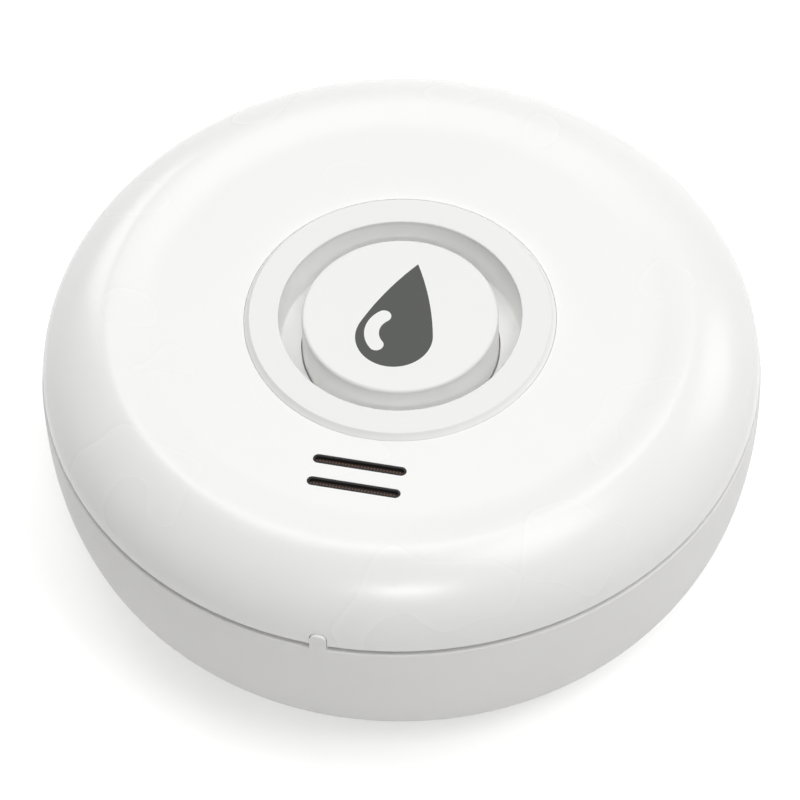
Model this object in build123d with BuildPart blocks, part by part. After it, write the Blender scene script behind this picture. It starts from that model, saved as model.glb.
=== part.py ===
from build123d import *
import os
from math import cos, radians, sin

# Lengths are in millimetres. The sensor stands on its feet at height zero and faces -Y.

# Both shells
body_radius = 45.0
base_depth = 22.5
cover_rise = 9.85
shell_wall = 2.0
floor_thickness = 2.2
seam_gap = 0.6
rim_round = 0.25
base_step = 0.16
base_side_share = 0.69
base_flat_share = 0.5
fit_gap = 0.1
shaft_gap = 0.05
overrun = 1.0

# Top of the cover: a dished plateau inside a soft crest, then the shoulder
dish_radius = 31.0
crest_width = 5.5
crest_rise = 0.6
shoulder_straight = 0.9
shoulder_side_share = 0.58
shoulder_top_share = 0.2

# Tongue and seal at the seam
lip_height = 1.5
lip_wall = 1.2
rim_depth = 3.0
seal_width = 0.9
seal_depth = 0.8
seal_inset = 0.75

# Tab that crosses the seam at the front
tab_width = 2.1
tab_rise = 2.3
tab_drop = 2.7
tab_shift = -0.8
tab_proud = 0.38
tab_depth = 0.6
tab_round = 0.8
tab_gap = 0.08

# Bezel: a ring with a bevelled rim, and the wall and floor of the well that the button stands in
bezel_radius = 18.85
bezel_rise = 0.75
bezel_bevel = 0.65
bezel_seat = 0.4
bezel_reveal = 0.06
well_radius = 15.2
well_depth = 6.2
well_floor = 1.2
bezel_wall = 1.5
skirt_wall = 1.2
skirt_depth = 4.3
bezel_round = 0.15
well_round = 0.3
hook_count = 3
hook_turn = 90
hook_proud = 0.6
hook_width = 3.0
hook_height = 1.0

# Button
button_radius = 12.3
button_gap = 0.2
button_crown = 1.8
button_wall = 1.6
button_round = 0.45
button_travel = 0.8
flange_proud = 1.2
flange_height = 1.0
post_radius = 2.0
post_gap = 0.1
rib_count = 4
rib_width = 1.0
rib_drop = 3.0

# Drop symbol, let into the button's top; its axis is turned a little from the front
symbol_depth = 0.5
symbol_turn = -2.5
symbol_shift = 0.15
drop_tip_reach = 8.5
drop_bulb_reach = 3.55
drop_bulb_radius = 4.85
drop_side_angle = 15
glint_width = 1.85
glint_start = (-2.05, -0.66)
glint_middle = (-2.93, -2.41)
glint_end = (-1.83, -5.32)

# Diaphragm under the button
membrane_skin = 0.5
membrane_rim = 1.1
membrane_rise = 1.0
membrane_collar_wall = 1.3
membrane_collar_height = 1.6
membrane_drop = 0.2

# Sound slots and sounder
slot_length = 11.8
slot_width = 1.4
slot_pitch = 3.55
slot_skin = 1.0
sounder_radius = 8.0
sounder_height = 6.4
sounder_wall = 0.8
sounder_margin = 0.8
liner_plate = 0.5
liner_wall = 0.28
liner_drop = 0.05
liner_ledge = 0.15
mesh_depth = 0.55
mesh_thickness = 0.15
sounder_chamber_radius = 6.3
sounder_seat_depth = 2.4
disc_thickness = 0.25
ceramic_radius = 4.8
ceramic_thickness = 0.2
pin_radius = 0.5
pin_spread = 6.0

# Battery bay, two cells side by side along X
cell_radius = 5.25
cell_length = 44.5
cell_nub_length = 1.1
cell_nub_radius = 1.9
cell_round = 0.4
cell_gap = 0.4
cell_clearance = 0.3
bay_wall = 1.2
bay_corner = 1.5
contact_thickness = 0.4
contact_width = 8.6
contact_tail_width = 2.0
spring_length = 4.0
spring_radius = 3.0
spring_wire = 0.3
spring_turns = 3
spring_gap = 0.05

# Battery door, its ears and its seal
door_thickness = 1.6
door_seal_height = 0.5
door_seal_width = 1.2
door_seal_inset = 0.3
door_gap = 0.15
ledge_width = 2.05
ledge_height = 1.5
pad_margin = 1.2
ear_radius = 3.6
ear_boss_radius = 3.2
ear_boss_height = 8.0
door_screw_radius = 1.25
door_screw_length = 7.0
door_head_radius = 2.3
door_head_height = 0.9
cross_length = 2.6
cross_width = 0.5
cross_depth = 0.5

# Feet, case screws and probes share one circle
fixture_count = 4
fixture_turn = 45
foot_height = 1.0
foot_radius = 4.2
foot_recess = 0.8
foot_edge = 0.4
foot_margin = 0.4
case_screw_radius = 1.45
case_screw_length = 12.0
case_head_radius = 2.75
case_head_height = 2.0
case_socket_radius = 1.2
case_socket_depth = 1.0
case_socket_sides = 6
screw_grip = 5.0
tower_wall = 1.2
boss_radius = 3.4
probe_radius = 2.3
probe_drop = 0.6
probe_head_height = 1.0
probe_round = 0.5
post_shank_radius = 1.8
probe_boss_wall = 1.4
probe_boss_drop = 2.5
probe_wall = 1.7
probe_seal_wire = 0.3
probe_screw_radius = 1.0
probe_screw_length = 5.0
probe_screw_head_radius = 1.9
probe_screw_head_height = 1.4
probe_screw_round = 0.4

# Board and what it carries
board_thickness = 1.6
board_gap = 2.0
board_margin = 1.2
board_clearance = 0.4
switch_side = 6.0
switch_height = 3.5
switch_bore_spare = 0.3
plunger_radius = 1.7
plunger_rise = 1.0
plunger_length = 2.5
module_length = 18.0
module_margin = 0.6
module_board = 0.8
shield_length = 13.0
shield_margin = 0.7
shield_height = 1.8
shield_round = 0.2
shield_shift = 1.8
chip_side = 7.0
chip_height = 1.0
capacitor_radius = 3.15
capacitor_height = 7.0
capacitor_round = 0.4
led_length = 2.0
led_width = 1.25
led_height = 0.8
led_count = 3
led_turn = 90
part_margin = 0.9

# Heights
underside_z = foot_height
seam_z = underside_z + base_depth
plateau_z = seam_z + cover_rise
bezel_top_z = plateau_z + bezel_rise
base_top_z = seam_z - seam_gap / 2
cover_foot_z = seam_z + seam_gap / 2
under_plateau_z = plateau_z - shell_wall
floor_root_z = underside_z + floor_thickness / 2

# Cover's crest
crest_radius = dish_radius + crest_width

# Bezel and button
skirt_radius = well_radius + bezel_wall
skirt_bore = skirt_radius - skirt_wall
well_floor_z = bezel_top_z - well_depth
well_under_z = well_floor_z - well_floor
skirt_foot_z = well_under_z - skirt_depth + well_floor
guide_radius = button_radius + button_gap
bezel_foot_z = plateau_z - bezel_seat
bezel_foot_radius = bezel_radius + bezel_bevel
button_bore = button_radius - button_wall
flange_radius = button_radius + flange_proud
flange_top_z = well_under_z - fit_gap
flange_foot_z = flange_top_z - flange_height
crown_under_z = bezel_top_z - button_crown

# Sounder, in front of the bezel's skirt
sounder_y = -(skirt_radius + sounder_margin + sounder_radius)
pocket_top_z = plateau_z - slot_skin
liner_foot_z = pocket_top_z - liner_plate
mesh_top_z = plateau_z - mesh_depth
sounder_foot_z = liner_foot_z - sounder_height

# Battery bay
door_inner_z = underside_z + door_thickness
ledge_z = door_inner_z + door_seal_height
cell_z = door_inner_z + cell_clearance + cell_radius
cell_pitch = cell_radius + cell_radius + cell_gap
bay_length = cell_length + spring_length + contact_thickness + contact_thickness
bay_width = cell_pitch + cell_radius + cell_radius + cell_clearance + cell_clearance
bay_ceiling_z = cell_z + cell_radius + cell_clearance
bay_top_z = bay_ceiling_z + bay_wall
door_length = bay_length + ledge_width + ledge_width
door_width = bay_width + ledge_width + ledge_width
ear_reach = bay_width / 2 + ear_boss_radius + shell_wall / 2

# Circle of the feet and the probes, just outside the door's ends
probe_bore = probe_radius + probe_seal_wire
fixture_circle = door_length / 2 + door_gap + probe_wall + probe_bore
case_bore = case_head_radius + fit_gap + fit_gap
tower_radius = case_bore + tower_wall
screw_seat_z = seam_z - screw_grip
flat_radius = fixture_circle + foot_radius + foot_margin
probe_boss_radius = post_shank_radius + probe_boss_wall
probe_head_top_z = underside_z - probe_drop + probe_head_height
probe_seat_z = probe_head_top_z + probe_seal_wire + probe_seal_wire

# Board
lip_outer = body_radius - shell_wall - fit_gap
lip_inner = lip_outer - lip_wall
board_foot_z = bay_top_z + board_gap
board_top_z = board_foot_z + board_thickness
board_radius = lip_inner - board_margin
switch_top_z = board_top_z + switch_height
switch_bore_depth = plunger_length - plunger_rise + button_travel + switch_bore_spare
plunger_top_z = switch_top_z + plunger_rise
post_foot_z = plunger_top_z + post_gap
ring_part_reach = skirt_radius + part_margin
module_width = fixture_circle - probe_screw_head_radius - module_margin - ring_part_reach
shield_width = module_width - shield_margin - shield_margin


def puck_section(inset, foot_inset):
    """Half section of the closed puck, moved in by inset and raised from the underside by foot_inset."""
    side = body_radius - inset
    foot = underside_z + foot_inset
    top = plateau_z - inset
    crest = top + crest_rise
    straight = seam_z + shoulder_straight
    blend_radius = (dish_radius + crest_radius) / 2
    with BuildSketch(Plane.XZ) as section:
        with BuildLine():
            Line((0, top), (0, foot))
            Line((0, foot), (flat_radius, foot))
            Bezier(
                (flat_radius, foot),
                (flat_radius + (side - flat_radius) * base_flat_share, foot),
                (side, seam_z - (seam_z - foot) * base_side_share),
                (side, seam_z),
            )
            Line((side, seam_z), (side, straight))
            Bezier(
                (side, straight),
                (side, straight + (crest - straight) * shoulder_side_share),
                (crest_radius + (side - crest_radius) * shoulder_top_share, crest),
                (crest_radius, crest),
            )
            Bezier((crest_radius, crest), (blend_radius, crest), (blend_radius, top), (dish_radius, top))
            Line((dish_radius, top), (0, top))
        make_face()
    return section.sketch


def pillars(places, radius, foot_z, top_z, mode=Mode.ADD):
    """Upright cylinders of one radius between two heights."""
    with BuildSketch(Plane.XY.offset(foot_z)) as plan:
        with places():
            Circle(radius)
    extrude(plan.sketch, amount=top_z - foot_z, mode=mode)


def ring(outer, inner, foot_z, top_z, mode=Mode.ADD):
    """A flat ring about the puck's axis."""
    with BuildSketch(Plane.XY.offset(foot_z)) as plan:
        Circle(outer)
        Circle(inner, mode=Mode.SUBTRACT)
    extrude(plan.sketch, amount=top_z - foot_z, mode=mode)


def block(centre, length, width, foot_z, top_z, corner=0, mode=Mode.ADD):
    """An upright block, with its corners rounded where corner isn't zero."""
    with BuildSketch(Plane.XY.offset(foot_z)) as plan:
        with Locations(centre):
            if corner:
                RectangleRounded(length, width, corner)
            else:
                Rectangle(length, width)
    extrude(plan.sketch, amount=top_z - foot_z, mode=mode)


def middle():
    return Locations((0, 0))


def foot_places():
    return PolarLocations(fixture_circle, fixture_count, start_angle=fixture_turn)


def probe_places():
    return PolarLocations(fixture_circle, fixture_count)


def ear_places():
    return Locations((0, ear_reach), (0, -ear_reach))


def sounder_place():
    return Locations((0, sounder_y))


def slots(length, width, foot_z, top_z, mode=Mode.ADD):
    """The pair of sound slots, of a given length and width over their round ends."""
    with BuildSketch(Plane.XY.offset(foot_z)) as plan:
        with Locations((0, sounder_y + slot_pitch / 2), (0, sounder_y - slot_pitch / 2)):
            SlotOverall(length, width)
    extrude(plan.sketch, amount=top_z - foot_z, mode=mode)


def door_plan(growth, foot_z, top_z, mode=Mode.ADD):
    """The battery door's plan, a rounded rectangle with two ears, grown on all sides."""
    with BuildSketch(Plane.XY.offset(foot_z)) as plan:
        RectangleRounded(door_length + growth + growth, door_width + growth + growth, bay_corner + growth)
        with ear_places():
            Circle(ear_radius + growth)
    extrude(plan.sketch, amount=top_z - foot_z, mode=mode)


def tab_band(growth):
    """The block just inside and outside the shells' faces, within the tab's outline grown by growth."""
    with BuildPart() as band:
        revolve(puck_section(-tab_proud - growth, 0), axis=Axis.Z)
        revolve(puck_section(tab_depth + growth, tab_depth), axis=Axis.Z, mode=Mode.SUBTRACT)
        with BuildSketch(Plane.XZ.offset(crest_radius)):
            with Locations((tab_shift, seam_z + (tab_rise - tab_drop) / 2)):
                RectangleRounded(
                    tab_width + growth + growth,
                    tab_rise + tab_drop + growth + growth,
                    tab_round + growth,
                )
        extrude(amount=body_radius, mode=Mode.INTERSECT)
    return band.part


tab = tab_band(0)
tab_space = tab_band(tab_gap)

# Top cover, with bosses for the case screws and a pocket over the sounder
with BuildPart() as top_cover:
    revolve(puck_section(0, 0), axis=Axis.Z)
    split(bisect_by=Plane.XY.offset(cover_foot_z), keep=Keep.TOP)
    fillet(top_cover.edges().group_by(Axis.Z)[0], rim_round)
    revolve(puck_section(shell_wall, 0), axis=Axis.Z, mode=Mode.SUBTRACT)
    pillars(foot_places, boss_radius, seam_z, under_plateau_z + shell_wall / 2)
    pillars(foot_places, case_screw_radius + shaft_gap, seam_z, under_plateau_z, Mode.SUBTRACT)
    pillars(middle, skirt_radius + fit_gap, seam_z, bezel_top_z, Mode.SUBTRACT)
    pillars(middle, bezel_foot_radius + bezel_reveal, bezel_foot_z, bezel_top_z, Mode.SUBTRACT)
    pillars(sounder_place, sounder_radius + fit_gap + fit_gap, seam_z, pocket_top_z, Mode.SUBTRACT)
    slots(slot_length, slot_width, pocket_top_z - overrun, plateau_z + overrun, Mode.SUBTRACT)
    add(tab_space, mode=Mode.SUBTRACT)

# Base shell, with the battery bay, the screw towers and the probes' bosses standing on its floor
with BuildPart() as base_shell:
    revolve(puck_section(-base_step, 0), axis=Axis.Z)
    split(bisect_by=Plane.XY.offset(base_top_z), keep=Keep.BOTTOM)
    fillet(base_shell.edges().group_by(Axis.Z)[-1], rim_round)
    revolve(puck_section(shell_wall, floor_thickness), axis=Axis.Z, mode=Mode.SUBTRACT)
    ring(body_radius - shell_wall / 2, lip_inner, base_top_z - rim_depth, base_top_z)
    ring(lip_outer, lip_inner, base_top_z - rim_depth, seam_z + lip_height)
    pillars(foot_places, tower_radius, floor_root_z, seam_z)
    pillars(probe_places, probe_boss_radius + probe_seal_wire, floor_root_z, board_foot_z - probe_boss_drop)
    pillars(ear_places, ear_boss_radius, floor_root_z, ledge_z + ear_boss_height)
    door_plan(pad_margin, floor_root_z, ledge_z + ledge_height)
    bay_walls = bay_wall + bay_wall
    block((0, 0), bay_length + bay_walls, bay_width + bay_walls, floor_root_z, bay_top_z)
    door_plan(door_gap, underside_z - overrun, ledge_z, Mode.SUBTRACT)
    block((0, 0), bay_length, bay_width, underside_z, bay_ceiling_z, 0, Mode.SUBTRACT)
    tail_slot = contact_thickness + fit_gap
    for end in (1, -1):
        for cell in (1, -1):
            tail_centre = (end * (bay_length - tail_slot) / 2, cell * cell_pitch / 2)
            tail_width = contact_tail_width + fit_gap + fit_gap
            block(tail_centre, tail_slot, tail_width, bay_ceiling_z - bay_wall, bay_top_z, 0, Mode.SUBTRACT)
    foot_seat_z = underside_z + foot_recess
    pillars(foot_places, foot_radius + shaft_gap, underside_z - overrun, foot_seat_z, Mode.SUBTRACT)
    pillars(foot_places, case_bore, underside_z, screw_seat_z, Mode.SUBTRACT)
    pillars(foot_places, case_screw_radius + fit_gap, underside_z, seam_z, Mode.SUBTRACT)
    pillars(probe_places, probe_bore, underside_z - overrun, probe_seat_z, Mode.SUBTRACT)
    pillars(probe_places, post_shank_radius + shaft_gap, underside_z, board_foot_z, Mode.SUBTRACT)
    door_hole_top = underside_z + door_head_height + door_screw_length + fit_gap
    pillars(ear_places, door_screw_radius + shaft_gap, underside_z, door_hole_top, Mode.SUBTRACT)
    seal_outer = body_radius - seal_inset
    seal_inner = seal_outer - seal_width
    ring(seal_outer + shaft_gap, seal_inner - shaft_gap, base_top_z - seal_depth, base_top_z, Mode.SUBTRACT)
    add(tab)

# Seal in the seam, from the base's groove to the cover's edge
with BuildPart() as cover_seal:
    ring(seal_outer, seal_inner, base_top_z - seal_depth, cover_foot_z)

# Bezel, turned in one piece, with hooks under the cover's plateau
with BuildPart() as button_bezel:
    with BuildSketch(Plane.XZ):
        with BuildLine():
            Polyline(
                (guide_radius, well_floor_z),
                (well_radius, well_floor_z),
                (well_radius, bezel_top_z),
                (bezel_radius, bezel_top_z),
                (bezel_foot_radius, plateau_z),
                (bezel_foot_radius, bezel_foot_z),
                (skirt_radius, bezel_foot_z),
                (skirt_radius, skirt_foot_z),
                (skirt_bore, skirt_foot_z),
                (skirt_bore, well_under_z),
                (guide_radius, well_under_z),
                close=True,
            )
        make_face()
    revolve(axis=Axis.Z)
    fillet(button_bezel.edges().group_by(Axis.Z)[-1], bezel_round)
    well_edges = button_bezel.edges().filter_by_position(Axis.Z, well_floor_z, well_floor_z)
    fillet(well_edges.sort_by(SortBy.RADIUS)[-1], well_round)
    with BuildSketch(Plane.XY.offset(under_plateau_z - shaft_gap)):
        with PolarLocations(skirt_radius, hook_count, start_angle=hook_turn):
            Rectangle(hook_proud + hook_proud, hook_width)
    extrude(amount=-hook_height)

# Button: a hollow cap with a flange that stops it under the well's floor, a post and four ribs
with BuildPart() as button_cap:
    with BuildSketch(Plane.XZ):
        with BuildLine():
            Polyline(
                (0, bezel_top_z),
                (button_radius, bezel_top_z),
                (button_radius, flange_top_z),
                (flange_radius, flange_top_z),
                (flange_radius, flange_foot_z),
                (button_bore, flange_foot_z),
                (button_bore, crown_under_z),
                (post_radius, crown_under_z),
                (post_radius, post_foot_z),
                (0, post_foot_z),
                close=True,
            )
        make_face()
    revolve(axis=Axis.Z)
    fillet(button_cap.edges().group_by(Axis.Z)[-1], button_round)
    rib_length = button_radius - button_wall / 2
    with BuildSketch(Plane.XY.offset(crown_under_z)):
        with PolarLocations(rib_length / 2, rib_count):
            Rectangle(rib_length, rib_width)
    extrude(amount=-rib_drop)
    blend_x = drop_bulb_radius * cos(radians(drop_side_angle))
    blend_y = drop_bulb_radius * sin(radians(drop_side_angle)) - drop_bulb_reach
    side_way = (-sin(radians(drop_side_angle)), cos(radians(drop_side_angle)))
    with BuildSketch(Plane((symbol_shift, 0, bezel_top_z)).rotated((0, 0, symbol_turn))) as symbol_outline:
        with BuildLine():
            TangentArc((blend_x, blend_y), (0, drop_tip_reach), tangent=side_way)
            TangentArc((-blend_x, blend_y), (0, drop_tip_reach), tangent=(-side_way[0], side_way[1]))
            ThreePointArc((blend_x, blend_y), (0, -drop_bulb_reach - drop_bulb_radius), (-blend_x, blend_y))
        make_face()
        with BuildLine(mode=Mode.PRIVATE) as glint_path:
            ThreePointArc(glint_start, glint_middle, glint_end)
        SlotArc(glint_path.wire(), glint_width, mode=Mode.SUBTRACT)
    extrude(amount=-symbol_depth, mode=Mode.SUBTRACT)

# Drop symbol, which fills its recess flush with the button's top
with BuildPart() as drop_symbol:
    add(symbol_outline.sketch)
    extrude(amount=-symbol_depth)

# Diaphragm: a rim inside the bezel's skirt, a cone and a collar round the button's post
with BuildPart() as button_membrane:
    rim_outer = skirt_bore - shaft_gap
    rim_inner = rim_outer - membrane_rim
    rim_foot_z = skirt_foot_z + membrane_drop
    collar_inner = post_radius + shaft_gap
    collar_outer = collar_inner + membrane_collar_wall
    collar_foot_z = rim_foot_z + membrane_rise
    with BuildSketch(Plane.XZ):
        with BuildLine():
            Polyline(
                (rim_outer, rim_foot_z),
                (rim_inner, rim_foot_z),
                (collar_inner, collar_foot_z),
                (collar_inner, collar_foot_z + membrane_collar_height),
                (collar_outer, collar_foot_z + membrane_collar_height),
                (collar_outer, collar_foot_z + membrane_skin),
                (rim_inner, rim_foot_z + membrane_skin),
                (rim_inner, rim_foot_z + membrane_rim),
                (rim_outer, rim_foot_z + membrane_rim),
                close=True,
            )
        make_face()
    revolve(axis=Axis.Z)

# Slot liner: a soft plate under the slots, with two collars that line them
with BuildPart() as slot_liner:
    pillars(sounder_place, sounder_radius, liner_foot_z, pocket_top_z)
    slots(slot_length - shaft_gap, slot_width - shaft_gap, liner_foot_z, plateau_z - liner_drop)
    liner_growth = liner_wall + liner_wall
    ledge_top_z = mesh_top_z - mesh_thickness
    slots(slot_length - liner_growth, slot_width - liner_growth, ledge_top_z, plateau_z, Mode.SUBTRACT)
    mouth_growth = liner_growth + liner_ledge + liner_ledge
    slots(slot_length - mouth_growth, slot_width - mouth_growth, liner_foot_z, plateau_z, Mode.SUBTRACT)

# Mesh strips on the liner's ledges
with BuildPart() as sounder_mesh:
    mesh_growth = liner_growth + shaft_gap
    slots(slot_length - mesh_growth, slot_width - mesh_growth, ledge_top_z, mesh_top_z)

# Sounder can, open at the top, with a step that holds the disc
with BuildPart() as sounder_housing:
    disc_z = liner_foot_z - sounder_seat_depth
    pillars(sounder_place, sounder_radius, sounder_foot_z, liner_foot_z)
    pillars(sounder_place, sounder_radius - sounder_wall, disc_z, liner_foot_z, Mode.SUBTRACT)
    pillars(sounder_place, sounder_chamber_radius, sounder_foot_z + sounder_wall, disc_z, Mode.SUBTRACT)

with BuildPart() as sounder_disc:
    pillars(sounder_place, sounder_radius - sounder_wall - shaft_gap, disc_z, disc_z + disc_thickness)

with BuildPart() as sounder_ceramic:
    ceramic_foot_z = disc_z + disc_thickness
    pillars(sounder_place, ceramic_radius, ceramic_foot_z, ceramic_foot_z + ceramic_thickness)

with BuildPart() as sounder_pins:
    with BuildSketch(Plane.XY.offset(board_top_z)):
        with Locations((pin_spread / 2, sounder_y), (-pin_spread / 2, sounder_y)):
            Circle(pin_radius)
    extrude(amount=sounder_foot_z - board_top_z)

# Main board, with a notch round each screw tower and a hole for each probe's screw
with BuildPart() as main_board:
    pillars(middle, board_radius, board_foot_z, board_top_z)
    notch_radius = tower_radius + board_clearance
    pillars(foot_places, notch_radius, board_foot_z, board_top_z, Mode.SUBTRACT)
    with BuildSketch(Plane.XY.offset(board_foot_z)):
        with PolarLocations(fixture_circle + board_radius / 2, fixture_count, start_angle=fixture_turn):
            Rectangle(board_radius, notch_radius + notch_radius)
    extrude(amount=board_thickness, mode=Mode.SUBTRACT)
    pillars(probe_places, probe_screw_radius + fit_gap, board_foot_z, board_top_z, Mode.SUBTRACT)

# Push switch and its plunger, under the button's post
with BuildPart() as switch_body:
    block((0, 0), switch_side, switch_side, board_top_z, switch_top_z)
    switch_bore_z = switch_top_z - switch_bore_depth
    pillars(middle, plunger_radius + shaft_gap, switch_bore_z, switch_top_z, Mode.SUBTRACT)

with BuildPart() as switch_plunger:
    pillars(middle, plunger_radius, plunger_top_z - plunger_length, plunger_top_z)

# Radio module behind the bezel's skirt, its can, the control chip and the capacitor beside it
with BuildPart() as radio_module:
    module_y = ring_part_reach + module_width / 2
    module_top_z = board_top_z + module_board
    block((0, module_y), module_length, module_width, board_top_z, module_top_z)

with BuildPart() as radio_shield:
    block((shield_shift, module_y), shield_length, shield_width, module_top_z, module_top_z + shield_height)
    fillet(radio_shield.edges().group_by(Axis.Z)[-1], shield_round)

with BuildPart() as control_chip:
    chip_x = -ring_part_reach - chip_side / 2
    block((chip_x, 0), chip_side, chip_side, board_top_z, board_top_z + chip_height)

with BuildPart() as board_capacitor:
    with BuildSketch(Plane.XY.offset(board_top_z)):
        with Locations((ring_part_reach + capacitor_radius, 0)):
            Circle(capacitor_radius)
    extrude(amount=capacitor_height)
    fillet(board_capacitor.edges().group_by(Axis.Z)[-1], capacitor_round)

# Lamps under the well's floor
with BuildPart() as status_leds:
    with BuildSketch(Plane.XY.offset(board_top_z)):
        with PolarLocations((button_radius + well_radius) / 2, led_count, start_angle=led_turn):
            Rectangle(led_width, led_length)
    extrude(amount=led_height)

# Probes: a domed head below the underside, and a shank that carries the board
with BuildPart() as probe_posts:
    pillars(probe_places, probe_radius, underside_z - probe_drop, probe_head_top_z)
    fillet(probe_posts.edges().group_by(Axis.Z)[0], probe_round)
    pillars(probe_places, post_shank_radius, probe_head_top_z - probe_head_height / 2, board_foot_z)
    pillars(
        probe_places,
        probe_screw_radius + shaft_gap,
        board_top_z - probe_screw_length - fit_gap,
        board_foot_z,
        Mode.SUBTRACT,
    )

with BuildPart() as probe_seals:
    pillars(probe_places, probe_bore - shaft_gap, probe_head_top_z, probe_seat_z)
    pillars(probe_places, post_shank_radius + shaft_gap, probe_head_top_z, probe_seat_z, Mode.SUBTRACT)

with BuildPart() as probe_screws:
    screw_head_z = board_top_z + probe_screw_head_height
    pillars(probe_places, probe_screw_radius, board_top_z - probe_screw_length, screw_head_z)
    pillars(probe_places, probe_screw_head_radius, board_top_z, screw_head_z)
    fillet(probe_screws.edges().group_by(Axis.Z)[-1], probe_screw_round)

# Cells, one turned end for end
with BuildPart() as battery_cells:
    for cell in (1, -1):
        flat_x = -cell * (bay_length / 2 - contact_thickness - spring_length)
        with BuildSketch(Plane.YZ.offset(flat_x)):
            with Locations((cell * cell_pitch / 2, cell_z)):
                Circle(cell_radius)
        extrude(amount=cell * (cell_length - cell_nub_length))
    fillet(battery_cells.edges().filter_by(GeomType.CIRCLE), cell_round)
    for cell in (1, -1):
        shoulder_x = cell * (bay_length / 2 - contact_thickness - cell_nub_length)
        with BuildSketch(Plane.YZ.offset(shoulder_x)):
            with Locations((cell * cell_pitch / 2, cell_z)):
                Circle(cell_nub_radius)
        extrude(amount=cell * cell_nub_length)

# Coil contacts between the end plates and the cells' flat ends
with BuildPart() as contact_springs:
    coil_length = spring_length - spring_wire - spring_wire - spring_gap - spring_gap
    for cell in (1, -1):
        coil_x = -cell * (bay_length / 2 - contact_thickness - spring_wire - spring_gap)
        with BuildLine():
            coil = Helix(
                coil_length / spring_turns,
                coil_length,
                spring_radius,
                center=(coil_x, cell * cell_pitch / 2, cell_z),
                direction=(cell, 0, 0),
            )
        with BuildSketch(Plane(origin=coil @ 0, z_dir=coil % 0)):
            Circle(spring_wire)
        sweep()

# Contact plates at both ends of the bay, each with a tail that reaches the board
with BuildPart() as contact_plates:
    for end in (1, -1):
        for cell in (1, -1):
            plate_centre = (end * (bay_length - contact_thickness) / 2, cell * cell_pitch / 2)
            plate_foot_z = cell_z - contact_width / 2
            block(plate_centre, contact_thickness, contact_width, plate_foot_z, cell_z + contact_width / 2)
            block(plate_centre, contact_thickness, contact_tail_width, cell_z, board_foot_z)

# Battery door, flush with the underside, with a sunk seat for each screw
with BuildPart() as battery_door:
    head_top_z = underside_z + door_head_height
    door_plan(0, underside_z, door_inner_z)
    pillars(ear_places, door_head_radius + fit_gap, underside_z, head_top_z, Mode.SUBTRACT)
    pillars(ear_places, door_screw_radius + fit_gap, underside_z, door_inner_z, Mode.SUBTRACT)

with BuildPart() as door_seal:
    seal_gap = door_seal_inset + door_seal_inset
    seal_growth = seal_gap + door_seal_width + door_seal_width
    seal_top_z = ledge_z - shaft_gap
    block((0, 0), bay_length + seal_growth, bay_width + seal_growth, door_inner_z, seal_top_z, bay_corner)
    block((0, 0), bay_length + seal_gap, bay_width + seal_gap, door_inner_z, seal_top_z, 0, Mode.SUBTRACT)

with BuildPart() as door_screws:
    pillars(ear_places, door_head_radius, underside_z, head_top_z)
    pillars(ear_places, door_screw_radius, underside_z, head_top_z + door_screw_length)
    with BuildSketch(Plane.XY.offset(underside_z)):
        with ear_places():
            Rectangle(cross_length, cross_width)
            Rectangle(cross_width, cross_length)
    extrude(amount=cross_depth, mode=Mode.SUBTRACT)

# Case screws, up through the base's towers into the cover's bosses
with BuildPart() as case_screws:
    head_foot_z = screw_seat_z - case_head_height
    pillars(foot_places, case_head_radius, head_foot_z, screw_seat_z)
    pillars(foot_places, case_screw_radius, head_foot_z, screw_seat_z + case_screw_length)
    with BuildSketch(Plane.XY.offset(head_foot_z)):
        with foot_places():
            RegularPolygon(case_socket_radius, case_socket_sides)
    extrude(amount=case_socket_depth, mode=Mode.SUBTRACT)

# Feet, each pressed into a recess over a case screw's bore
with BuildPart() as rubber_feet:
    pillars(foot_places, foot_radius, 0, underside_z + foot_recess)
    fillet(rubber_feet.edges().group_by(Axis.Z)[0], foot_edge)

os.makedirs("parts", exist_ok=True)
pieces = {
    "top_cover": top_cover,
    "base_shell": base_shell,
    "cover_seal": cover_seal,
    "button_bezel": button_bezel,
    "button_cap": button_cap,
    "drop_symbol": drop_symbol,
    "button_membrane": button_membrane,
    "slot_liner": slot_liner,
    "sounder_mesh": sounder_mesh,
    "sounder_housing": sounder_housing,
    "sounder_disc": sounder_disc,
    "sounder_ceramic": sounder_ceramic,
    "sounder_pins": sounder_pins,
    "main_board": main_board,
    "switch_body": switch_body,
    "switch_plunger": switch_plunger,
    "radio_module": radio_module,
    "radio_shield": radio_shield,
    "control_chip": control_chip,
    "board_capacitor": board_capacitor,
    "status_leds": status_leds,
    "probe_posts": probe_posts,
    "probe_seals": probe_seals,
    "probe_screws": probe_screws,
    "battery_cells": battery_cells,
    "contact_springs": contact_springs,
    "contact_plates": contact_plates,
    "battery_door": battery_door,
    "door_seal": door_seal,
    "door_screws": door_screws,
    "case_screws": case_screws,
    "rubber_feet": rubber_feet,
}
for name, piece in pieces.items():
    piece.part.label = name
    export_step(piece.part, f"parts/{name}.step")
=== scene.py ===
from math import cos, radians, sin

import bpy
from mathutils import Matrix, Vector


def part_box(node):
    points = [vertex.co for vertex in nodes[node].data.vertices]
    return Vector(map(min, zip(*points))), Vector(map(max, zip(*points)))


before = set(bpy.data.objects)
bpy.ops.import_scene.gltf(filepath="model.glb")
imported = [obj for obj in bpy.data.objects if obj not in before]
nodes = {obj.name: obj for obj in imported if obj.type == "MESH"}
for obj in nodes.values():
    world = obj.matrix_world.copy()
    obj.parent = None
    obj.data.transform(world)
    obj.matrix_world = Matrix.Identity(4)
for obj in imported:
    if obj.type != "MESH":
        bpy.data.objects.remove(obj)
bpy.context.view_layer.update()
scene = bpy.context.scene

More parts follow.
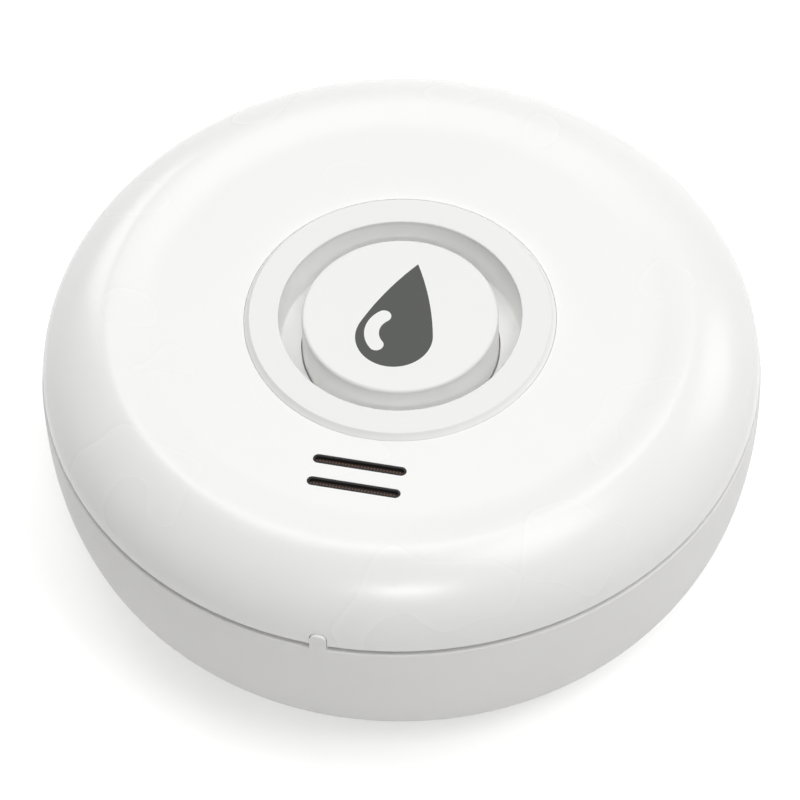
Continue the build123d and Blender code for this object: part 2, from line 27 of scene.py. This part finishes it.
# Camera, at the photograph's viewing angle
IMAGE_PX = 800
SENSOR_MM = 36.0
AZIMUTH = radians(13.3)
ELEVATION = radians(50.6)
ROLL = radians(-1.57)
DISTANCE = 1.1
FOCAL_PX = 8819
PAN = -0.00026
TILT = -0.00964
CLIP_START = 0.05
CLIP_END = 20
TOP_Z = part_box("button_bezel")[1].z


def make_camera():
    out = Vector((sin(AZIMUTH) * cos(ELEVATION), -cos(AZIMUTH) * cos(ELEVATION), sin(ELEVATION)))
    place = Vector((0, 0, TOP_Z)) + DISTANCE * out
    right = (-out).cross(Vector((0, 0, 1))).normalized()
    up = right.cross(-out)
    look = (-out + PAN * right + TILT * up).normalized()
    side = look.cross(up).normalized()
    top = side.cross(look)
    turned_side = cos(ROLL) * side + sin(ROLL) * top
    turned_top = -sin(ROLL) * side + cos(ROLL) * top
    basis = Matrix((turned_side, turned_top, -look)).transposed()
    data = bpy.data.cameras.new("camera")
    data.sensor_width = SENSOR_MM
    data.lens = FOCAL_PX / IMAGE_PX * SENSOR_MM
    data.clip_start = CLIP_START
    data.clip_end = CLIP_END
    camera = bpy.data.objects.new("camera", data)
    camera.matrix_world = Matrix.Translation(place) @ basis.to_4x4()
    scene.collection.objects.link(camera)
    scene.camera = camera


make_camera()

# Sockets of the colour mix node, which repeats its socket names for each data type
MIX_FACTOR = 0
MIX_FIRST = 6
MIX_SECOND = 7
MIX_RESULT = 2

# How far the ribs of a woven cloth waver
RIB_WAVER = 0.4


class Finish:
    """A node material in the making: one Principled shader and the textures that feed it."""

    def __init__(self, name):
        self.material = bpy.data.materials.new(name)
        self.material.use_nodes = True
        self.tree = self.material.node_tree
        self.shader = self.tree.nodes["Principled BSDF"]
        self.place = self.add("ShaderNodeTexCoord").outputs["Object"]
        self.normal = None

    def add(self, kind, **values):
        node = self.tree.nodes.new(kind)
        for key, value in values.items():
            if hasattr(node, key):
                setattr(node, key, value)
            else:
                node.inputs[key.replace("_", " ")].default_value = value
        return node

    def link(self, output, target):
        self.tree.links.new(output, target)

    def constant(self, **values):
        for key, value in values.items():
            self.shader.inputs[key.replace("_", " ")].default_value = value

    def noise(self, scale, detail, rough=0.5, stretch=(1, 1, 1)):
        source = self.place
        if stretch != (1, 1, 1):
            mapping = self.add("ShaderNodeMapping")
            mapping.inputs["Scale"].default_value = stretch
            self.link(source, mapping.inputs["Vector"])
            source = mapping.outputs["Vector"]
        node = self.add("ShaderNodeTexNoise", Scale=scale, Detail=detail, Roughness=rough)
        self.link(source, node.inputs["Vector"])
        return node.outputs["Fac"]

    def tinted(self, source, stops):
        """Feeds two (position, colour) stops of a ramp to the base colour."""
        node = self.add("ShaderNodeValToRGB")
        for element, (position, colour) in zip(node.color_ramp.elements, stops):
            element.position = position
            element.color = (*colour, 1)
        self.link(source, node.inputs["Fac"])
        self.link(node.outputs["Color"], self.shader.inputs["Base Color"])

    def roughened(self, source, low, high):
        """Maps a noise to a roughness from low to high."""
        node = self.add("ShaderNodeMapRange")
        node.inputs["To Min"].default_value = low
        node.inputs["To Max"].default_value = high
        self.link(source, node.inputs["Value"])
        self.link(node.outputs["Result"], self.shader.inputs["Roughness"])

    def bump(self, source, height):
        node = self.add("ShaderNodeBump", Strength=1.0, Distance=height)
        self.link(source, node.inputs["Height"])
        if self.normal is not None:
            self.link(self.normal, node.inputs["Normal"])
        self.normal = node.outputs["Normal"]
        self.link(self.normal, self.shader.inputs["Normal"])

    def scaled(self, source, low, high, first=0.0, last=1.0):
        """Maps low..high of a value to first..last, and holds it there outside."""
        node = self.add("ShaderNodeMapRange")
        for key, value in (("From Min", low), ("From Max", high), ("To Min", first), ("To Max", last)):
            node.inputs[key].default_value = value
        self.link(source, node.inputs["Value"])
        return node.outputs["Result"]

    def axes(self):
        node = self.add("ShaderNodeSeparateXYZ")
        self.link(self.place, node.inputs["Vector"])
        return node.outputs["X"], node.outputs["Y"], node.outputs["Z"]

    def math(self, operation, first, second=None):
        node = self.add("ShaderNodeMath", operation=operation)
        for source, target in ((first, node.inputs[0]), (second, node.inputs[1])):
            if isinstance(source, (int, float)):
                target.default_value = source
            elif source is not None:
                self.link(source, target)
        return node.outputs["Value"]

    def over(self, factor, colour):
        """Lays a colour over the base colour where factor is one."""
        target = self.shader.inputs["Base Color"]
        node = self.add("ShaderNodeMix", data_type="RGBA")
        self.link(factor, node.inputs[MIX_FACTOR])
        self.link(target.links[0].from_socket, node.inputs[MIX_FIRST])
        node.inputs[MIX_SECOND].default_value = (*colour, 1)
        self.link(node.outputs[MIX_RESULT], target)

    def bands(self, axis, scale):
        """Fine ribs across one axis, from zero to one."""
        node = self.add("ShaderNodeTexWave", wave_type="BANDS", bands_direction=axis)
        node.inputs["Scale"].default_value = scale
        node.inputs["Distortion"].default_value = RIB_WAVER
        self.link(self.place, node.inputs["Vector"])
        return node.outputs["Fac"]


def shade(colour, factor):
    return tuple(min(1.0, channel * factor) for channel in colour)


# Noises in plastic and metal: scales in cells per metre, stops of the tint's ramp, and roughness
PLASTIC_TINT_SCALE = 45
PLASTIC_GLOSS_SCALE = 60
PLASTIC_WAVE_SCALE = 70
METAL_TINT_SCALE = 120
PLASTIC_TINT_STOPS = (0.1, 0.9)
METAL_TINT_STOPS = (0.3, 0.7)
NOISE_ROUGHNESS = 0.6

# Values of the shader, shares of tint, and the height of a metal's grain
PLASTIC_IOR = 1.5
PLASTIC_SPECULAR = 0.5
RUBBER_SPECULAR = 0.35
RUBBER_TINT = 0.06
METAL_TINT = 0.05
METAL_GRAIN_HEIGHT = 1.5e-6


def plastic(name, colour, tint, rough, grain, grain_height, wave_height=0):
    """Moulded plastic: slight uneven colour and gloss, and a fine grain."""
    finish = Finish(name)
    finish.tinted(
        finish.noise(PLASTIC_TINT_SCALE, detail=4, rough=NOISE_ROUGHNESS),
        zip(PLASTIC_TINT_STOPS, (shade(colour, 1 - 2 * tint), shade(colour, 1 + 2 * tint))),
    )
    finish.roughened(finish.noise(PLASTIC_GLOSS_SCALE, detail=1), *rough)
    if wave_height:
        finish.bump(finish.noise(PLASTIC_WAVE_SCALE, detail=1), wave_height)
    finish.bump(finish.noise(grain, detail=3, rough=NOISE_ROUGHNESS), grain_height)
    finish.constant(IOR=PLASTIC_IOR, Specular_IOR_Level=PLASTIC_SPECULAR)
    return finish


def rubber(name, colour, rough=(0.6, 0.75), grain=2600, grain_height=8e-6):
    finish = plastic(name, colour, RUBBER_TINT, rough, grain, grain_height)
    finish.constant(Specular_IOR_Level=RUBBER_SPECULAR)
    return finish


def metal(name, colour, rough=(0.2, 0.32), stretch=(1, 1, 12), grain=900):
    """Plated or drawn metal with fine marks along one direction."""
    finish = Finish(name)
    finish.constant(Metallic=1.0)
    finish.tinted(
        finish.noise(METAL_TINT_SCALE, detail=4, rough=NOISE_ROUGHNESS),
        zip(METAL_TINT_STOPS, (shade(colour, 1 - METAL_TINT), shade(colour, 1 + METAL_TINT))),
    )
    finish.roughened(finish.noise(grain, detail=2, rough=NOISE_ROUGHNESS, stretch=stretch), *rough)
    finish.bump(finish.noise(grain * 2, detail=2, rough=NOISE_ROUGHNESS, stretch=stretch), METAL_GRAIN_HEIGHT)
    return finish


def dress(node, finish):
    """Puts a finish on a CAD node."""
    mesh = nodes[node].data
    mesh.materials.clear()
    mesh.materials.append(finish.material)


# Metres of noise for each radian round the puck, which draws the marks out along their way
MARK_STRETCH = 0.004
MARK_SCALE = 900


def tool_marks(finish, height):
    """Faint marks that run round the puck, as a turned mould leaves."""
    x, y, z = finish.axes()
    squares = finish.math("ADD", finish.math("MULTIPLY", x, x), finish.math("MULTIPLY", y, y))
    radius = finish.math("SQRT", squares)
    turn = finish.math("MULTIPLY", finish.math("ARCTAN2", y, x), MARK_STRETCH)
    place = finish.add("ShaderNodeCombineXYZ")
    for source, target in zip((radius, turn, z), ("X", "Y", "Z")):
        finish.link(source, place.inputs[target])
    node = finish.add("ShaderNodeTexNoise", Scale=MARK_SCALE, Detail=2, Roughness=0.5)
    finish.link(place.outputs["Vector"], node.inputs["Vector"])
    finish.bump(node.outputs["Fac"], height)


# How far below the top face the painted light begins, and where it is full
WALL_START = 0.0002
WALL_FULL = 0.0007
WALL_PAINTED_LIGHT = (0.935, 0.935, 0.925)


def painted_wall_light(finish):
    """Painted light: a whiter tone on everything below the top face of the bezel and button, which brightens
    the shade in and around the recess.
    """
    height = finish.axes()[2]
    finish.over(finish.scaled(height, TOP_Z - WALL_FULL, TOP_Z - WALL_START, 1.0, 0.0), WALL_PAINTED_LIGHT)


# Plastics, rubbers and metals. A colour is the share of red, green and blue that it reflects
WHITE = (0.89, 0.89, 0.882)
cover_plastic = plastic(
    "cover_plastic", WHITE, tint=0.006, rough=(0.25, 0.29), grain=1500, grain_height=6e-7, wave_height=4e-6
)
tool_marks(cover_plastic, height=1.2e-6)
bezel_plastic = plastic(
    "bezel_plastic", (0.84, 0.84, 0.832), tint=0.008, rough=(0.5, 0.58), grain=2600, grain_height=6e-6
)
# Painted light on the bezel's shaded sides below its top face
painted_wall_light(bezel_plastic)
button_plastic = plastic(
    "button_plastic", (0.85, 0.85, 0.842), tint=0.006, rough=(0.36, 0.42), grain=2200, grain_height=3e-6
)
# Painted light on the button's shaded side below its top face
painted_wall_light(button_plastic)
base_plastic = plastic(
    "base_plastic", (0.84, 0.835, 0.825), tint=0.012, rough=(0.5, 0.6), grain=2400, grain_height=6e-6
)
tool_marks(base_plastic, height=1.5e-6)
symbol_plastic = plastic(
    "symbol_plastic", (0.045, 0.048, 0.045), tint=0.05, rough=(0.45, 0.55), grain=2400, grain_height=3e-6
)
black_plastic = plastic(
    "black_plastic", (0.02, 0.02, 0.02), tint=0.1, rough=(0.4, 0.5), grain=2400, grain_height=5e-6
)
nylon = plastic("nylon", (0.7, 0.7, 0.66), tint=0.03, rough=(0.4, 0.5), grain=1800, grain_height=4e-6)
seal_rubber = rubber("seal_rubber", (0.012, 0.012, 0.012))
# Near-black lining of the sound slots: painted shade for the inside of the slots
slot_shade_black = rubber("slot_shade_black", (0.012, 0.011, 0.011))
foot_rubber = rubber("foot_rubber", (0.3, 0.3, 0.3))
membrane_rubber = rubber("membrane_rubber", (0.6, 0.61, 0.6), rough=(0.35, 0.45))
membrane_rubber.constant(Transmission_Weight=0.3)

# Woven mesh over the sounder: dark gaps between crossed threads
THREAD_SCALE = 780
WEAVE_HEIGHT = 6e-5
GAP_FULL = 0.35
GAP_END = 0.6
mesh_cloth = rubber("mesh_cloth", (0.17, 0.1, 0.078), rough=(0.5, 0.7), grain=5000, grain_height=1e-5)
weave = mesh_cloth.math("MULTIPLY", mesh_cloth.bands("X", THREAD_SCALE), mesh_cloth.bands("Y", THREAD_SCALE))
mesh_cloth.over(mesh_cloth.scaled(weave, GAP_FULL, GAP_END, 1.0, 0.0), (0.035, 0.022, 0.018))
mesh_cloth.bump(weave, WEAVE_HEIGHT)

board_mask = plastic(
    "board_mask", (0.015, 0.12, 0.045), tint=0.1, rough=(0.2, 0.3), grain=1200, grain_height=6e-6
)
module_mask = plastic(
    "module_mask", (0.012, 0.035, 0.13), tint=0.1, rough=(0.2, 0.3), grain=1200, grain_height=6e-6
)
lens = plastic("lens", (0.8, 0.75, 0.45), tint=0.05, rough=(0.1, 0.2), grain=1200, grain_height=2e-6)
ceramic = plastic("ceramic", (0.7, 0.69, 0.64), tint=0.04, rough=(0.3, 0.45), grain=1600, grain_height=4e-6)
nickel = metal("nickel", (0.72, 0.7, 0.66))
tin = metal("tin", (0.68, 0.68, 0.68), rough=(0.3, 0.42), stretch=(12, 1, 1))
brass = metal("brass", (0.78, 0.57, 0.24), rough=(0.25, 0.4), stretch=(1, 12, 1))
zinc = metal("zinc", (0.52, 0.52, 0.53), rough=(0.28, 0.4), stretch=(1, 1, 1), grain=1600)

# Features of a board: kind, scale, the distances where it is full and where it ends
TRACE = ("DISTANCE_TO_EDGE", 420, 0.03, 0.05)
PAD = ("F1", 300, 0.1, 0.13)
TRACE_HEIGHT = 2e-5


def make_traces(finish, copper, pad):
    """Copper runs under a board's mask, and its plated pads."""
    for (feature, scale, low, high), colour in ((TRACE, copper), (PAD, pad)):
        cells = finish.add("ShaderNodeTexVoronoi", voronoi_dimensions="2D", feature=feature, Scale=scale)
        finish.link(finish.place, cells.inputs["Vector"])
        shape = finish.scaled(cells.outputs["Distance"], low, high, 1.0, 0.0)
        finish.over(shape, colour)
        if feature == "DISTANCE_TO_EDGE":
            finish.bump(shape, TRACE_HEIGHT)


make_traces(board_mask, (0.03, 0.22, 0.08), (0.62, 0.6, 0.55))
make_traces(module_mask, (0.03, 0.08, 0.24), (0.62, 0.5, 0.25))


# Shares of a cell's half length where its gold end and its bare steel begin and are full
GOLD_START = 0.5
GOLD_FULL = 0.51
STEEL_START = 0.955
STEEL_FULL = 0.96


def make_sleeve():
    """A battery's printed sleeve, with its gold end and the bare steel at both ends."""
    finish = plastic(
        "sleeve", (0.05, 0.07, 0.11), tint=0.06, rough=(0.18, 0.26), grain=1500, grain_height=2e-6
    )
    x, y, z = finish.axes()
    along = finish.math("MULTIPLY", x, finish.math("SIGN", y))
    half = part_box("battery_cells")[1].x
    gold = finish.scaled(along, half * GOLD_START, half * GOLD_FULL)
    steel = finish.scaled(finish.math("ABSOLUTE", x), half * STEEL_START, half * STEEL_FULL)
    finish.over(gold, (0.62, 0.4, 0.16))
    finish.over(steel, (0.62, 0.61, 0.59))
    finish.link(finish.math("MAXIMUM", gold, steel), finish.shader.inputs["Metallic"])
    return finish


# How far below the capacitor's top its sleeve ends, and where the bare metal is full
SLEEVE_END = 0.0006
BARE_FULL = 0.0005


def make_can():
    """The capacitor's dark sleeve, which leaves its aluminium top bare."""
    finish = plastic(
        "capacitor_sleeve", (0.03, 0.035, 0.06), tint=0.1, rough=(0.25, 0.35), grain=1800, grain_height=3e-6
    )
    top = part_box("board_capacitor")[1].z
    bare = finish.scaled(finish.axes()[2], top - SLEEVE_END, top - BARE_FULL)
    finish.over(bare, (0.72, 0.72, 0.73))
    finish.link(bare, finish.shader.inputs["Metallic"])
    return finish


FINISHES = {
    "top_cover": cover_plastic,
    "base_shell": base_plastic,
    "cover_seal": seal_rubber,
    "button_bezel": bezel_plastic,
    "button_cap": button_plastic,
    "drop_symbol": symbol_plastic,
    "button_membrane": membrane_rubber,
    "slot_liner": slot_shade_black,
    "sounder_mesh": mesh_cloth,
    "sounder_housing": black_plastic,
    "sounder_disc": brass,
    "sounder_ceramic": ceramic,
    "sounder_pins": nickel,
    "main_board": board_mask,
    "switch_body": black_plastic,
    "switch_plunger": nylon,
    "radio_module": module_mask,
    "radio_shield": tin,
    "control_chip": black_plastic,
    "board_capacitor": make_can(),
    "status_leds": lens,
    "probe_posts": nickel,
    "probe_seals": seal_rubber,
    "probe_screws": zinc,
    "battery_cells": make_sleeve(),
    "contact_springs": nickel,
    "contact_plates": nickel,
    "battery_door": base_plastic,
    "door_seal": seal_rubber,
    "door_screws": zinc,
    "case_screws": zinc,
    "rubber_feet": foot_rubber,
}
for node_name, node_finish in FINISHES.items():
    dress(node_name, node_finish)


# Floor and light
FLOOR_SIZE = 6.0
FLOOR_COLOUR = (0.85, 0.85, 0.845, 1)
FLOOR_GLOW = 0.42


def rays_that_see_the_studio(tree):
    """One for camera, glossy and transmission rays, zero for the rest."""
    path = tree.nodes.new("ShaderNodeLightPath")
    value = path.outputs["Is Camera Ray"]
    for name in ("Is Glossy Ray", "Is Transmission Ray"):
        either = tree.nodes.new("ShaderNodeMath")
        either.operation = "MAXIMUM"
        tree.links.new(value, either.inputs[0])
        tree.links.new(path.outputs[name], either.inputs[1])
        value = either.outputs["Value"]
    return value


def make_floor():
    mesh = bpy.data.meshes.new("floor")
    half = FLOOR_SIZE / 2
    corners = [(-half, -half, 0), (half, -half, 0), (half, half, 0), (-half, half, 0)]
    mesh.from_pydata(corners, [], [(0, 1, 2, 3)])
    floor = bpy.data.objects.new("floor", mesh)
    scene.collection.objects.link(floor)
    material = bpy.data.materials.new("floor")
    material.use_nodes = True
    tree = material.node_tree
    tree.nodes.clear()
    diffuse = tree.nodes.new("ShaderNodeBsdfDiffuse")
    diffuse.inputs["Color"].default_value = FLOOR_COLOUR
    glow = tree.nodes.new("ShaderNodeEmission")
    strength = tree.nodes.new("ShaderNodeMath")
    strength.operation = "MULTIPLY"
    strength.inputs[1].default_value = FLOOR_GLOW
    total = tree.nodes.new("ShaderNodeAddShader")
    output = tree.nodes.new("ShaderNodeOutputMaterial")
    tree.links.new(rays_that_see_the_studio(tree), strength.inputs[0])
    tree.links.new(strength.outputs["Value"], glow.inputs["Strength"])
    tree.links.new(diffuse.outputs["BSDF"], total.inputs[0])
    tree.links.new(glow.outputs["Emission"], total.inputs[1])
    tree.links.new(total.outputs["Shader"], output.inputs["Surface"])
    mesh.materials.append(material)


make_floor()

HORIZON = 0.05
ZENITH = 0.3


def make_world():
    """A studio that is brighter overhead than at the horizon, and plain white to the rays that see it."""
    world = bpy.data.worlds.new("studio")
    scene.world = world
    world.use_nodes = True
    tree = world.node_tree
    background = tree.nodes["Background"]
    background.inputs["Color"].default_value = (1, 1, 1, 1)
    place = tree.nodes.new("ShaderNodeTexCoord")
    height = tree.nodes.new("ShaderNodeSeparateXYZ")
    level = tree.nodes.new("ShaderNodeMapRange")
    level.inputs["To Min"].default_value = HORIZON
    level.inputs["To Max"].default_value = ZENITH
    total = tree.nodes.new("ShaderNodeMix")
    total.inputs["B"].default_value = 1.0
    tree.links.new(place.outputs["Generated"], height.inputs["Vector"])
    tree.links.new(height.outputs["Z"], level.inputs["Value"])
    tree.links.new(rays_that_see_the_studio(tree), total.inputs["Factor"])
    tree.links.new(level.outputs["Result"], total.inputs["A"])
    tree.links.new(total.outputs["Result"], background.inputs["Strength"])


make_world()


def lamp(name, place, target, size, power):
    """An area lamp, with its size in metres and its power in watts."""
    data = bpy.data.lights.new(name, "AREA")
    data.shape = "RECTANGLE"
    data.size, data.size_y = size
    data.energy = power
    item = bpy.data.objects.new(name, data)
    item.location = place
    direction = Vector(target) - Vector(place)
    item.rotation_euler = direction.to_track_quat("-Z", "Y").to_euler()
    scene.collection.objects.link(item)


lamp("overhead", place=(-0.05, 0.28, 1.05), target=(0, 0, 0), size=(0.9, 0.8), power=4.9)
lamp("key", place=(0.5, -0.17, 1.02), target=(0, 0, 0), size=(0.5, 0.5), power=3.3)
lamp("strip", place=(0.175, -0.74, 0.75), target=(0, 0, 0.02), size=(0.3, 0.05), power=1.9)
lamp("rear_right", place=(0.85, 0.7, 0.45), target=(0, 0, 0.02), size=(0.5, 0.5), power=1.9)
lamp("rear_left", place=(-0.8, 0.8, 0.45), target=(0, 0, 0.02), size=(0.5, 0.5), power=2.2)

scene.view_settings.view_transform = "Standard"
